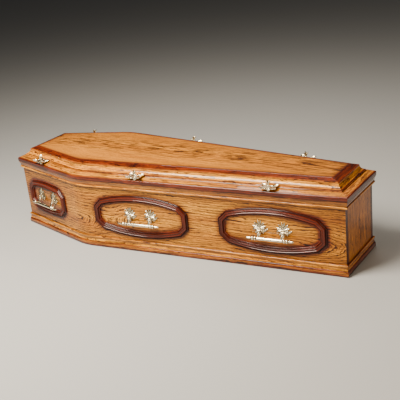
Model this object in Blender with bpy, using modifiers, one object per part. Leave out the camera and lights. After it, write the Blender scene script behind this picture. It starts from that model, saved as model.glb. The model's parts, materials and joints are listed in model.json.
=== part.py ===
"""A six-sided oak coffin with a raised lid, applied panel frames, swinging bar handles and wreath holders.

Metres, +Z up. The origin is the middle of the underside and +X runs to the foot end.
The right side is the long side at -Y and the left side is its mirror image at +Y.
"""
import math

import bmesh
import bpy
from mathutils import Matrix, Vector

# Box: outside sizes at the faces of its boards
BOX_LENGTH = 1.917
BOX_HEIGHT = 0.3687
HEAD_WIDTH = 0.353
SHOULDER_WIDTH = 0.630
FOOT_WIDTH = 0.335
SHOULDER_FROM_HEAD = 0.510
SHOULDER_RADIUS = 0.300
SHOULDER_STEPS = 4
SIDE_THICKNESS = 0.018
END_THICKNESS = 0.020
BASE_THICKNESS = 0.018
GAP = 0.0003
MITRE_GAP = 0.0005

# Mouldings round the box
PLINTH_HEIGHT = 0.058
PLINTH_PROJECTION = 0.0115
TOP_MOULDING_HEIGHT = 0.0350
TOP_MOULDING_PROJECTION = 0.0140

# Lid: a board with a rounded edge and a ledge, a mitred moulding on it and a flat raised top
LID_OVERHANG = 0.0165
LID_EDGE = 0.0243
LEDGE_RISE = 0.0085
LID_RIM = 0.030
LID_RECESS = 0.0148
STEP_INSET = 0.0210
RAISE = 0.0458
RAISED_WIDTH = 0.0550
RAISED_SHELF = 0.0100
TOP_PANEL_THICKNESS = 0.014
TOP_PANEL_CHAMFER = 0.0012
RAISED_LEAN = 0.90

# Applied panel frames
FRAME_HEAD_MARGIN = 0.041
FRAME_BEFORE_SHOULDER = 0.145
FRAME_AFTER_SHOULDER = 0.086
FRAME_SPACING = 0.164
FRAME_FOOT_MARGIN = 0.0844
FRAME_MARGIN_BELOW = 0.0175
FRAME_MARGIN_ABOVE = 0.0285
FRAME_MOULDING = 0.036
FRAME_THICKNESS = 0.0125
FRAME_CORNER = 0.040
FRAME_RISE = 0.0329
FRAME_ARCH_STEPS = 5

# Handles
PLATE_SPACING = 0.118
PLATE_RADIUS = 0.038
PLATE_EDGE = 0.0030
PLATE_CROWN = 0.0055
PLATE_ABOVE_MIDDLE = 0.0125
PIVOT_BELOW_PLATE = 0.0110
PIVOT_CLEARANCE = 0.0026
PIN_RADIUS = 0.0020
PIN_CLEARANCE = 0.0006
EYE_WALL = 0.0024
EYE_WIDTH = 0.0060
EAR_WALL = 0.0026
EAR_THICKNESS = 0.0024
EAR_CLEARANCE = 0.0004
BAR_LENGTH = 0.236
BAR_RADIUS = 0.0078
BAR_DROP = 0.0330
BAR_REACH = 0.0180
ARM_NECK_SETBACK = 0.0002
ARM_NECK_DEPTH = 0.0050
ARM_LEAF_WIDTH = 0.0144
ARM_FOOT_WIDTH = 0.0109
ARM_DEPTH = 0.0070

# Wreath holders
HOLDER_FROM_EDGE = 0.0100
HOLDER_OVER_STEP = 0.0033
HOLDER_CLEARANCE = 0.0031
HOLDER_BOSS = 0.0090
HOLDER_POST = 0.0040
HOLDER_HEIGHT = 0.0460
HOLDER_LEAF = 0.0018
HOLDER_CURL = 0.0080
HOLDER_CROWN = 0.0180
HOLDER_CROWN_RADIUS = 0.0125

# Shapes of the sections, as shares of a moulding's projection and height
PLINTH_SECTION = (
    (0.80, 0.0), (0.96, 0.07), (1.0, 0.17), (0.96, 0.34), (0.72, 0.45), (0.50, 0.48), (0.62, 0.53),
    (0.40, 0.68), (0.42, 0.79), (0.66, 0.83), (0.76, 0.90), (0.62, 0.97), (0.36, 1.0),
)
TOP_SECTION = (
    (0.42, 0.0), (0.76, 0.06), (0.84, 0.17), (0.74, 0.29), (0.50, 0.33), (0.60, 0.41),
    (0.66, 0.56), (0.80, 0.76), (1.0, 0.90), (1.0, 1.0),
)
LID_EDGE_SECTION = (
    (0.70, 0.0), (0.90, 0.05), (1.0, 0.20), (1.0, 0.72), (0.92, 0.90), (0.72, 1.0),
)
RAISED_SECTION = (
    (0.0, 0.0), (0.025, 0.05), (0.0, 0.10), (0.030, 0.16), (0.090, 0.185), (0.200, 0.250), (0.305, 0.350),
    (0.385, 0.480), (0.430, 0.630), (0.440, 0.725), (0.500, 0.785), (1.0, 1.0),
)
FRAME_SECTION = (
    (0.03, 0.38), (0.12, 0.55), (0.22, 0.52), (0.36, 1.0), (0.64, 1.0), (0.78, 0.52), (0.88, 0.55), (0.97, 0.38),
)
LEAF_TIPS = (
    (-90, 1.16), (-54, 0.98), (-18, 1.0), (15, 0.90), (47, 0.90), (79, 1.04),
)
LEAF_VALLEY = 0.64
LEAF_CROWN = 0.70
EAR_FOOT = 1.30
ARM_LEAF_AT = 0.52
BAR_SECTION = (
    (0.0, 1.0), (0.55, 0.985), (0.80, 0.775), (1.24, 0.720), (0.85, 0.665), (1.22, 0.602), (0.94, 0.540),
)
HOLDER_LOBES = 4
HOLDER_WAIST = 0.58
HOLDER_SPREAD = 1.55
CROWN_WAIST = 0.50
CROWN_FLOOR = 0.35

# Sides of the small round pieces, and steps round an ear's nose
PIN_SIDES = 6
EYE_SIDES = 8
BAR_SIDES = 8
EAR_STEPS = 3

# Faces that meet at more than this angle, in degrees, keep a sharp arris
SHARP_ANGLE = 32

# Heights and insets that follow from the sizes above
HALF_LENGTH = BOX_LENGTH / 2
LID_BOTTOM = BOX_HEIGHT + GAP
LID_TOP = LID_BOTTOM + LID_EDGE + LEDGE_RISE
RAISED_TOP = LID_TOP + GAP + RAISE
TOP_MOULDING_BOTTOM = BOX_HEIGHT - TOP_MOULDING_HEIGHT
FRAME_BOTTOM = PLINTH_HEIGHT + FRAME_MARGIN_BELOW
FRAME_HEIGHT = TOP_MOULDING_BOTTOM - FRAME_MARGIN_ABOVE - FRAME_BOTTOM
FRAME_MIDDLE = FRAME_BOTTOM + FRAME_HEIGHT / 2
TOP_PANEL_INSET = STEP_INSET + RAISED_WIDTH
HEAD_SIDE = math.hypot(SHOULDER_FROM_HEAD, (SHOULDER_WIDTH - HEAD_WIDTH) / 2)
FOOT_SIDE = math.hypot(BOX_LENGTH - SHOULDER_FROM_HEAD, (SHOULDER_WIDTH - FOOT_WIDTH) / 2)
SHORT_FRAME = HEAD_SIDE - FRAME_HEAD_MARGIN - FRAME_BEFORE_SHOULDER
LONG_FRAME = (FOOT_SIDE - FRAME_AFTER_SHOULDER - FRAME_SPACING - FRAME_FOOT_MARGIN) / 2
FRAME_ARCH_RADIUS = ((LONG_FRAME / 2 - FRAME_CORNER) ** 2 + FRAME_RISE ** 2) / (2 * FRAME_RISE)
FRAME_SHOULDER = FRAME_HEIGHT / 2 - FRAME_RISE
LEDGE_EDGE = LID_OVERHANG * LID_EDGE_SECTION[-1][0]
LEDGE_SLOPE = LEDGE_RISE / (LEDGE_EDGE + STEP_INSET)
HOLDER_INWARD = LEDGE_EDGE + STEP_INSET - HOLDER_FROM_EDGE
HOLDER_RADIUS = (HOLDER_INWARD + HOLDER_OVER_STEP) / math.sin(math.pi / HOLDER_LOBES)
HOLDER_DISH = LEDGE_SLOPE * HOLDER_RADIUS * HOLDER_WAIST + HOLDER_CLEARANCE
EYE_RADIUS = PIN_RADIUS + PIN_CLEARANCE + EYE_WALL
EAR_RADIUS = PIN_RADIUS + EAR_WALL
PIVOT_STAND_OFF = PLATE_CROWN + PIVOT_CLEARANCE + EYE_RADIUS

HEAD_CORNER = Vector((-HALF_LENGTH, -HEAD_WIDTH / 2))
SHOULDER_CORNER = Vector((SHOULDER_FROM_HEAD - HALF_LENGTH, -SHOULDER_WIDTH / 2))
FOOT_CORNER = Vector((HALF_LENGTH, -FOOT_WIDTH / 2))
ALONG_HEAD = (SHOULDER_CORNER - HEAD_CORNER).normalized()
ALONG_FOOT = (FOOT_CORNER - SHOULDER_CORNER).normalized()
ACROSS = Vector((0, 1))


def clear_scene():
    """Removes what the scene holds."""
    for obj in list(bpy.data.objects):
        bpy.data.objects.remove(obj, do_unlink=True)


def collection(name):
    """A new collection in the scene."""
    made = bpy.data.collections.new(name)
    bpy.context.scene.collection.children.link(made)
    return made


def material(name, colour, roughness, metallic=0.0):
    """A Principled material with one colour."""
    made = bpy.data.materials.new(name)
    made.use_nodes = True
    shader = made.node_tree.nodes["Principled BSDF"]
    shader.inputs["Base Color"].default_value = (*colour, 1)
    shader.inputs["Roughness"].default_value = roughness
    shader.inputs["Metallic"].default_value = metallic
    made.diffuse_color = (*colour, 1)
    return made


def shade(mesh):
    """Smooth shading that keeps the arrises sharp."""
    mesh.shade_smooth()
    mesh.set_sharp_from_angle(angle=math.radians(SHARP_ANGLE))


def place(name, mesh, finish, location=(0, 0, 0), turn=0.0):
    """Adds a piece of the coffin to its collection."""
    obj = bpy.data.objects.new(name, mesh)
    if not mesh.materials:
        mesh.materials.append(finish)
    obj.location = location
    obj.rotation_euler = (0, 0, turn)
    PARTS.objects.link(obj)
    return obj


def loft_mesh(name, loops, ring=False):
    """A closed mesh through loops of equal count: its ends are filled, or joined when ring is true."""
    shape = bmesh.new()
    rows = [[shape.verts.new(point) for point in loop] for loop in loops]
    pairs = list(zip(rows, rows[1:]))
    if ring:
        pairs.append((rows[-1], rows[0]))
    else:
        shape.faces.new(rows[0][::-1])
        shape.faces.new(rows[-1])
    for low, high in pairs:
        for i in range(len(low)):
            j = (i + 1) % len(low)
            shape.faces.new((low[i], low[j], high[j], high[i]))
    bmesh.ops.recalc_face_normals(shape, faces=shape.faces)
    mesh = bpy.data.meshes.new(name)
    shape.to_mesh(mesh)
    shape.free()
    shade(mesh)
    return mesh


def loft(name, loops, finish, ring=False):
    """A piece that is one loft."""
    return place(name, loft_mesh(name, loops, ring), finish)


def helper(name, mesh, matrix=None):
    """A temporary object that takes part in a Boolean."""
    obj = bpy.data.objects.new(name, mesh)
    if matrix is not None:
        obj.matrix_world = matrix
    HELPERS.objects.link(obj)
    obj.hide_render = True
    obj.display_type = "WIRE"
    return obj


def fused_mesh(name, solids, cutters=()):
    """One mesh of solids that overlap, less the cutters, all of which are removed."""
    base = solids[0]
    steps = [(other, "UNION") for other in solids[1:]] + [(other, "DIFFERENCE") for other in cutters]
    for other, operation in steps:
        boolean = base.modifiers.new(operation.title(), "BOOLEAN")
        boolean.operation = operation
        boolean.object = other
        boolean.solver = "EXACT"
    bpy.context.view_layer.update()
    graph = bpy.context.evaluated_depsgraph_get()
    mesh = bpy.data.meshes.new_from_object(base.evaluated_get(graph))
    mesh.transform(base.matrix_world)
    mesh.name = name
    for used in [*solids, *cutters]:
        bpy.data.objects.remove(used, do_unlink=True)
    shade(mesh)
    return mesh


def cylinder_mesh(name, radius, length, sides):
    """A cylinder along X with its middle at the origin."""
    shape = bmesh.new()
    bmesh.ops.create_cone(
        shape, cap_ends=True, segments=sides, radius1=radius, radius2=radius, depth=length,
        matrix=Matrix.Rotation(math.pi / 2, 4, "Y"),
    )
    mesh = bpy.data.meshes.new(name)
    shape.to_mesh(mesh)
    shape.free()
    return mesh


def meet(start, along, other, other_along):
    """Where two lines in the plan cross, each given by a point and a direction."""
    gap = other - start
    share = (gap.x * other_along.y - gap.y * other_along.x) / (along.x * other_along.y - along.y * other_along.x)
    return start + along * share


def outward(along):
    """The direction out of the box beside a stretch of its right side."""
    return Vector((along.y, -along.x))


def side_path(outset, end=None):
    """Plan points of the right side, moved outward by outset, from head to foot round the shoulder.

    The ends lie on the mitres, or where the side crosses x = -end and x = end.
    From the foot of the raised moulding inward the shoulder also moves towards the head.
    """
    reach = HALF_LENGTH + outset if end is None else end
    head_line = HEAD_CORNER + outward(ALONG_HEAD) * outset
    foot_line = FOOT_CORNER + outward(ALONG_FOOT) * outset
    start = meet(head_line, ALONG_HEAD, Vector((-reach, 0)), ACROSS)
    finish = meet(foot_line, ALONG_FOOT, Vector((reach, 0)), ACROSS)
    lean = RAISED_LEAN * max(-outset - STEP_INSET, 0) if end is None else 0
    corner = meet(head_line, ALONG_HEAD, foot_line, ALONG_FOOT) - ALONG_FOOT * lean
    along = (corner - start).normalized()
    turn = along.angle(ALONG_FOOT)
    radius = SHOULDER_RADIUS + outset
    middle = corner - along * (radius * math.tan(turn / 2)) - outward(along) * radius
    arc = [
        middle + Matrix.Rotation(turn * i / SHOULDER_STEPS, 2) @ outward(along) * radius
        for i in range(SHOULDER_STEPS + 1)
    ]
    return [start, *arc, finish]


def mirrored(points):
    """The same points on the left side, in the opposite order."""
    return [Vector((p.x, -p.y, *p[2:])) for p in reversed(points)]


def outline(outset, z, end=None):
    """The whole six-sided outline at height z."""
    right = [Vector((p.x, p.y, z)) for p in side_path(outset, end)]
    return right + mirrored(right)


def mitred_moulding(name, section, finish):
    """Four lengths of one moulding round the plan: section holds its (outset, height) points."""
    paths = [side_path(outset) for outset, _ in section]
    stations = [
        [Vector((path[i].x, path[i].y, z)) for path, (_, z) in zip(paths, section)]
        for i in range(len(paths[0]))
    ]
    loft(name + "_right", stations, finish)
    loft(name + "_left", [mirrored(station) for station in stations], finish)
    for end, corner in (("head", stations[0]), ("foot", stations[-1])):
        cut = [Vector((p.x, p.y + MITRE_GAP, p.z)) for p in corner]
        loft(f"{name}_{end}", [cut, [Vector((p.x, -p.y, p.z)) for p in cut]], finish)


def planted(section, projection, bottom, height):
    """Section points of a moulding planted on the box, from its back at the bottom to its back at the top."""
    front = [(GAP + projection * out, bottom + height * up) for out, up in section]
    return [(GAP, bottom), *front, (GAP, bottom + height)]


def build_box():
    """Base, bent sides and end boards."""
    outer = side_path(0, HALF_LENGTH)
    inner = side_path(-SIDE_THICKNESS, HALF_LENGTH)
    stations = [
        [Vector((p.x, p.y, z)) for p, z in ((a, 0), (a, BOX_HEIGHT), (b, BOX_HEIGHT), (b, 0))]
        for a, b in zip(outer, inner)
    ]
    loft("side_board_right", stations, OAK)
    loft("side_board_left", [mirrored(station) for station in stations], OAK)
    end_back = HALF_LENGTH - END_THICKNESS
    between = -SIDE_THICKNESS - GAP
    for name, end in (("head_board", 0), ("foot_board", -1)):
        corners = [side_path(between, x)[end] for x in (HALF_LENGTH, end_back)]
        plan = corners + mirrored(corners)
        loft(name, [[Vector((p.x, p.y, z)) for p in plan] for z in (0, BOX_HEIGHT)], END_OAK)
    floor = end_back - GAP
    loft("base_board", [outline(between, z, floor) for z in (0, BASE_THICKNESS)], OAK)


def build_mouldings():
    """The plinth round the bottom and the moulding under the lid."""
    mitred_moulding(
        "plinth_moulding", planted(PLINTH_SECTION, PLINTH_PROJECTION, 0, PLINTH_HEIGHT), OAK,
    )
    mitred_moulding(
        "top_moulding",
        planted(TOP_SECTION, TOP_MOULDING_PROJECTION, TOP_MOULDING_BOTTOM, TOP_MOULDING_HEIGHT), OAK,
    )


def build_lid():
    """Lid board, the mitred moulding on it and the flat raised top."""
    edge = [
        outline(LID_OVERHANG * out, LID_BOTTOM + LID_EDGE * up)
        for out, up in LID_EDGE_SECTION
    ]
    recess = [outline(-LID_RIM, LID_BOTTOM + LID_RECESS), outline(-LID_RIM, LID_BOTTOM)]
    ledge_end = outline(-STEP_INSET, LID_TOP)
    loft("lid_board", [*recess, *edge, ledge_end], OAK)

    foot = LID_TOP + GAP
    shelf = RAISED_TOP - TOP_PANEL_THICKNESS
    front = [(-STEP_INSET - RAISED_WIDTH * inward, foot + RAISE * up) for inward, up in RAISED_SECTION]
    back = [
        (-TOP_PANEL_INSET, shelf),
        (-TOP_PANEL_INSET - RAISED_SHELF, shelf),
        (-TOP_PANEL_INSET - RAISED_SHELF, foot),
    ]
    mitred_moulding("lid_moulding", [*front, *back], OAK)
    panel = -TOP_PANEL_INSET - GAP
    loft("lid_top_panel", [
        outline(panel, shelf + GAP),
        outline(panel, RAISED_TOP - TOP_PANEL_CHAMFER),
        outline(panel - TOP_PANEL_CHAMFER, RAISED_TOP),
    ], OAK)


def frame_outline(half_length, inset):
    """The panel frame's outline in its own plane, moved inward by inset: arched above and below, corners cut.

    Every frame is bent from the same arched moulding, so a shorter one rises less.
    """
    corner_x = half_length - FRAME_CORNER
    spread = math.asin(corner_x / FRAME_ARCH_RADIUS)
    angles = [spread * (2 * i / FRAME_ARCH_STEPS - 1) for i in range(FRAME_ARCH_STEPS + 1)]
    middle = FRAME_SHOULDER - FRAME_ARCH_RADIUS * math.cos(spread)
    arch = [Vector((FRAME_ARCH_RADIUS * math.sin(a), middle + FRAME_ARCH_RADIUS * math.cos(a))) for a in angles]
    end = Vector((half_length, FRAME_SHOULDER - FRAME_CORNER))
    top = [Vector((-end.x, end.y)), *arch, end]
    points = top + [-p for p in top]
    moved = []
    for before, here, after in zip(points[-1:] + points[:-1], points, points[1:] + points[:1]):
        first, second = (here - before).normalized(), (after - here).normalized()
        moved.append(meet(here + outward(first) * inset, first, here + outward(second) * inset, second))
    return moved


def frame_mesh(name, length):
    """A panel frame in the XZ plane with its back at y = -GAP."""
    section = [(0, GAP), *((FRAME_MOULDING * inward, GAP + FRAME_THICKNESS * out) for inward, out in FRAME_SECTION),
               (FRAME_MOULDING, GAP)]
    loops = [[(p.x, -out, p.y) for p in frame_outline(length / 2, inset)] for inset, out in section]
    return loft_mesh(name, loops, ring=True)


def leaf_outline(scale, stand_off):
    """Tips and valleys of the cast leaf, counted round from its lowest tip."""
    half = [(math.radians(angle), reach) for angle, reach in LEAF_TIPS]
    tips = half + [(math.pi - angle, reach) for angle, reach in reversed(half[1:])]
    points = []
    for (angle, reach), (following, _) in zip(tips, tips[1:] + [(tips[0][0] + 2 * math.pi, 0)]):
        valley = (angle + following) / 2
        points += [(angle, reach), (valley, LEAF_VALLEY)]
    size = PLATE_RADIUS * scale
    return [(size * reach * math.cos(angle), -stand_off, size * reach * math.sin(angle)) for angle, reach in points]


def ear_mesh(middle_x):
    """One ear of a plate's knuckle, drawn in the plate's frame as a plate across the pin."""
    z = -PIVOT_BELOW_PLATE
    nose = [
        (-PIVOT_STAND_OFF - EAR_RADIUS * math.cos(a), z + EAR_RADIUS * math.sin(a))
        for a in (math.pi * (i / EAR_STEPS - 0.5) for i in range(EAR_STEPS + 1))
    ]
    foot = -PLATE_EDGE / 2
    side = [(foot, z - EAR_RADIUS * EAR_FOOT), *nose, (foot, z + EAR_RADIUS * EAR_FOOT)]
    return loft_mesh("ear", [
        [(middle_x + shift, y, height) for y, height in side] for shift in (-EAR_THICKNESS / 2, EAR_THICKNESS / 2)
    ])


def plate_mesh():
    """The cast leaf plate with two ears and the pin that a handle arm turns on."""
    leaf = helper("leaf", loft_mesh("leaf", [
        leaf_outline(1.0, GAP), leaf_outline(1.0, PLATE_EDGE), leaf_outline(LEAF_CROWN, PLATE_CROWN),
    ]))
    ear_x = EYE_WIDTH / 2 + EAR_CLEARANCE + EAR_THICKNESS / 2
    ears = [helper("ear", ear_mesh(side * ear_x)) for side in (-1, 1)]
    pin = helper(
        "pin", cylinder_mesh("pin", PIN_RADIUS, 2 * ear_x + EAR_THICKNESS / 2, PIN_SIDES),
        Matrix.Translation((0, -PIVOT_STAND_OFF, -PIVOT_BELOW_PLATE)),
    )
    return fused_mesh("handle_plate", [leaf, *ears, pin])


def turned(name, profile, steps):
    """A turned helper about X, from (radius, x) points that run from +X to -X."""
    mesh = bpy.data.meshes.new(name)
    mesh.from_pydata([(r, 0, x) for r, x in profile], [(i, i + 1) for i in range(len(profile) - 1)], [])
    obj = bpy.data.objects.new(name, mesh)
    HELPERS.objects.link(obj)
    screw = obj.modifiers.new("Screw", "SCREW")
    screw.steps = screw.render_steps = steps
    screw.use_merge_vertices = True
    screw.merge_threshold = 0.0001
    bpy.context.view_layer.update()
    solid = bpy.data.meshes.new_from_object(obj.evaluated_get(bpy.context.evaluated_depsgraph_get()))
    bpy.data.objects.remove(obj, do_unlink=True)
    shape = bmesh.new()
    shape.from_mesh(solid)
    bmesh.ops.rotate(shape, verts=shape.verts, matrix=Matrix.Rotation(math.pi / 2, 3, "Y"))
    bmesh.ops.recalc_face_normals(shape, faces=shape.faces)
    shape.to_mesh(solid)
    shape.free()
    return helper(name, solid)


def bar_mesh():
    """The bar with its turned rings and the two arms, drawn about the middle of the pins' axis."""
    half = [(BAR_RADIUS * r, BAR_LENGTH / 2 * x) for r, x in BAR_SECTION]
    bar = turned("bar", half + [(r, -x) for r, x in reversed(half)], BAR_SIDES)
    to_bar = Vector((0, -BAR_REACH, -BAR_DROP))
    bar.location = to_bar
    solids, holes = [bar], []
    down = to_bar.normalized()
    thick = Vector((0, down.z, -down.y))
    for side in (-1, 1):
        middle = Vector((side * PLATE_SPACING / 2, 0, 0))
        at_pin = Matrix.Translation(middle)
        solids.append(helper("eye", cylinder_mesh("eye", EYE_RADIUS, EYE_WIDTH, EYE_SIDES), at_pin))
        hole = cylinder_mesh("hole", PIN_RADIUS + PIN_CLEARANCE, EYE_WIDTH * 2, EYE_SIDES)
        holes.append(helper("hole", hole, at_pin))
        loops = []
        for reach, width, depth in (
            ((EYE_RADIUS + PIN_RADIUS + PIN_CLEARANCE) / 2, EYE_WIDTH - 2 * ARM_NECK_SETBACK, ARM_NECK_DEPTH),
            (to_bar.length * ARM_LEAF_AT, ARM_LEAF_WIDTH, ARM_DEPTH),
            (to_bar.length, ARM_FOOT_WIDTH, ARM_DEPTH),
        ):
            centre = middle + down * reach
            loops.append([
                centre + Vector((width / 2 * a, 0, 0)) + thick * (depth / 2 * b)
                for a, b in ((-1, -1), (1, -1), (1, 1), (-1, 1))
            ])
        solids.append(helper("arm", loft_mesh("arm", loops)))
    return fused_mesh("handle_bar", solids, holes)


def lobed_ring(radius, height, lift=0.0, waist=1.0, slope=0.0, spread=1.0):
    """Points round a wreath holder: each lobe's tip is lifted, and the points between the tips are drawn in.

    The spread makes the ring longer along the side than across the ledge.
    """
    points = []
    for i in range(HOLDER_LOBES * 3):
        tip = i % 3 == 0
        angle = math.pi * (2 * i / 3 + 1) / HOLDER_LOBES
        reach = radius * (1 if tip else waist)
        y = reach * math.sin(angle)
        points.append((reach * spread * math.cos(angle), y, height + slope * y + (lift if tip else 0)))
    return points


def holder_mesh():
    """A wreath holder: a boss cut to the ledge, a dish with upturned petals, a post and a flared crown."""
    shoulder = HOLDER_HEIGHT - HOLDER_CROWN
    return loft_mesh("wreath_holder", [
        lobed_ring(HOLDER_BOSS, GAP, slope=LEDGE_SLOPE),
        lobed_ring(HOLDER_BOSS, HOLDER_DISH - HOLDER_LEAF),
        lobed_ring(HOLDER_RADIUS, HOLDER_DISH, HOLDER_CURL, HOLDER_WAIST, spread=HOLDER_SPREAD),
        lobed_ring(HOLDER_RADIUS, HOLDER_DISH + HOLDER_LEAF, HOLDER_CURL, HOLDER_WAIST, spread=HOLDER_SPREAD),
        lobed_ring(HOLDER_POST, HOLDER_DISH + HOLDER_LEAF),
        lobed_ring(HOLDER_POST, shoulder),
        lobed_ring(HOLDER_CROWN_RADIUS, shoulder + HOLDER_CROWN / 2, HOLDER_CROWN / 2, CROWN_WAIST),
        lobed_ring(HOLDER_POST / 2, shoulder + HOLDER_CROWN * CROWN_FLOOR),
    ])


def panels():
    """(place, middle on the right side's face, direction, frame length) of the three panels of a side."""
    first = FRAME_AFTER_SHOULDER + LONG_FRAME / 2
    return (
        ("head", HEAD_CORNER + ALONG_HEAD * (FRAME_HEAD_MARGIN + SHORT_FRAME / 2), ALONG_HEAD, SHORT_FRAME),
        ("middle", SHOULDER_CORNER + ALONG_FOOT * first, ALONG_FOOT, LONG_FRAME),
        ("foot", SHOULDER_CORNER + ALONG_FOOT * (first + LONG_FRAME + FRAME_SPACING), ALONG_FOOT, LONG_FRAME),
    )


def build_fittings():
    """Panel frames, handles and wreath holders of both long sides."""
    plate, bar, holder = plate_mesh(), bar_mesh(), holder_mesh()
    frames = {}
    plate_z = FRAME_MIDDLE + PLATE_ABOVE_MIDDLE
    pivot_z = plate_z - PIVOT_BELOW_PLATE
    on_ledge = LEDGE_EDGE - HOLDER_FROM_EDGE
    ledge_z = LID_BOTTOM + LID_EDGE + LEDGE_SLOPE * HOLDER_FROM_EDGE
    for side, sign in (("right", 1), ("left", -1)):
        for name, middle, along, length in panels():
            turn = math.atan2(along.y, along.x)
            turn = turn if sign > 0 else math.pi - turn

            def spot(shift, out, z, middle=middle, along=along, sign=sign):
                """A point beside the panel's middle, on this side of the coffin."""
                p = middle + along * shift + outward(along) * out
                return (p.x, p.y * sign, z)

            if length not in frames:
                frames[length] = frame_mesh(f"panel_frame_{name}", length)
            place(f"panel_frame_{side}_{name}", frames[length], DARK, spot(0, 0, FRAME_MIDDLE), turn)
            for number, shift in ((1, -PLATE_SPACING / 2), (2, PLATE_SPACING / 2)):
                place(f"handle_plate_{side}_{name}_{number}", plate, BRASS, spot(shift, 0, plate_z), turn)
            place(f"handle_bar_{side}_{name}", bar, BRASS, spot(0, PIVOT_STAND_OFF, pivot_z), turn)
            place(f"wreath_holder_{side}_{name}", holder, BRASS, spot(0, on_ledge, ledge_z), turn)


clear_scene()
PARTS = collection("coffin")
HELPERS = collection("coffin_helpers")
OAK = material("oak", (0.52, 0.24, 0.055), 0.16)
END_OAK = material("end_oak", (0.24, 0.095, 0.022), 0.18)
DARK = material("stained_moulding", (0.11, 0.012, 0.004), 0.12)
BRASS = material("pale_brass", (0.78, 0.66, 0.42), 0.24, 1.0)
build_box()
build_mouldings()
build_lid()
build_fittings()
bpy.data.collections.remove(HELPERS)
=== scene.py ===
"""Looks of the six-sided oak coffin: lacquered oak, dark panel frames and pale brass fittings.

Metres, +Z up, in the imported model's frame: +X runs to the foot end, and the right side is at -Y.
"""
import json
from math import asin, atan2, copysign, cos, hypot, pi, radians, sin, sqrt, tan

import bmesh
import bpy
import numpy as np
from mathutils import Matrix, Vector

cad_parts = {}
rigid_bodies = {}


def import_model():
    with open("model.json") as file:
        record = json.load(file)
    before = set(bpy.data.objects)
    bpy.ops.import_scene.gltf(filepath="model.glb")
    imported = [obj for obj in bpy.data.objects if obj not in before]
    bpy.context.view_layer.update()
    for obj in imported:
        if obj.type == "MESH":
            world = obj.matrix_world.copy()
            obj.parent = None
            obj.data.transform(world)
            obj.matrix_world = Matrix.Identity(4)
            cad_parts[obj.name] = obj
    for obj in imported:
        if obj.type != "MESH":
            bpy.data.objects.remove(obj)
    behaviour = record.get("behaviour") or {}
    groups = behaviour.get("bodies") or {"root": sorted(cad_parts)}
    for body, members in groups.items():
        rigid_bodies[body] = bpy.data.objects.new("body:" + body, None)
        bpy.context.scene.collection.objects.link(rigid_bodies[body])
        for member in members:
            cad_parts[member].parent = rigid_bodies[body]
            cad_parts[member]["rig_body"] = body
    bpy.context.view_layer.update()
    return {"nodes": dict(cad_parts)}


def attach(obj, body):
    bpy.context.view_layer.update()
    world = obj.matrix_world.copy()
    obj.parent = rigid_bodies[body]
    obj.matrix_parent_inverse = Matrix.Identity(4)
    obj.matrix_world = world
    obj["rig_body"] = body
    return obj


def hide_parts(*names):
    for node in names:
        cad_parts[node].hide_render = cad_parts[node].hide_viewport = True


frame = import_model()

# Box, at the faces of its boards
BOX_LENGTH = 1.917
BOX_HEIGHT = 0.3687
HEAD_WIDTH = 0.353
SHOULDER_WIDTH = 0.63
FOOT_WIDTH = 0.335
SHOULDER_FROM_HEAD = 0.51
SHOULDER_RADIUS = 0.3
SIDE_THICKNESS = 0.018
END_THICKNESS = 0.02
GAP = 0.0003
MITRE_GAP = 0.0005

# Mouldings round the box
PLINTH_HEIGHT = 0.058
PLINTH_PROJECTION = 0.0115
TOP_MOULDING_HEIGHT = 0.035
TOP_MOULDING_PROJECTION = 0.014

# Lid
LID_OVERHANG = 0.0165
LID_EDGE = 0.0243
LEDGE_RISE = 0.0085
LID_RIM = 0.03
LID_RECESS = 0.0148
STEP_INSET = 0.021
RAISE = 0.0458
RAISED_WIDTH = 0.055
RAISED_SHELF = 0.01
TOP_PANEL_THICKNESS = 0.014
TOP_PANEL_CHAMFER = 0.0012
RAISED_LEAN = 0.9

# Applied panel frames
FRAME_HEAD_MARGIN = 0.041
FRAME_BEFORE_SHOULDER = 0.145
FRAME_AFTER_SHOULDER = 0.086
FRAME_SPACING = 0.164
FRAME_FOOT_MARGIN = 0.0844
FRAME_MARGIN_BELOW = 0.0175
FRAME_MARGIN_ABOVE = 0.0285
FRAME_MOULDING = 0.036
FRAME_THICKNESS = 0.0125
FRAME_CORNER = 0.04
FRAME_RISE = 0.0329

# Handles
PLATE_SPACING = 0.118
PLATE_EDGE = 0.003
PLATE_ABOVE_MIDDLE = 0.0125
PIVOT_BELOW_PLATE = 0.011
PIVOT_STAND_OFF = 0.0131
PIN_RADIUS = 0.002
EYE_RADIUS = 0.005
EYE_WIDTH = 0.006
EAR_RADIUS = 0.0046
EAR_THICKNESS = 0.0024
EAR_CLEARANCE = 0.0004
BAR_LENGTH = 0.236
BAR_RADIUS = 0.0078
BAR_DROP = 0.033
BAR_REACH = 0.018
ARM_NECK_WIDTH = 0.0056
ARM_NECK_DEPTH = 0.005
ARM_LEAF_WIDTH = 0.0144
ARM_LEAF_AT = 0.52
ARM_FOOT_WIDTH = 0.0109
ARM_DEPTH = 0.007

# Wreath holders
HOLDER_FROM_EDGE = 0.01
HOLDER_OVER_STEP = 0.0033
HOLDER_CLEARANCE = 0.0031
HOLDER_BOSS = 0.009
HOLDER_POST = 0.004
HOLDER_HEIGHT = 0.046
HOLDER_LEAF = 0.0018
HOLDER_CURL = 0.008
HOLDER_WAIST = 0.58
HOLDER_SPREAD = 1.55
HOLDER_CROWN = 0.018
HOLDER_CROWN_RADIUS = 0.0125

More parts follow.
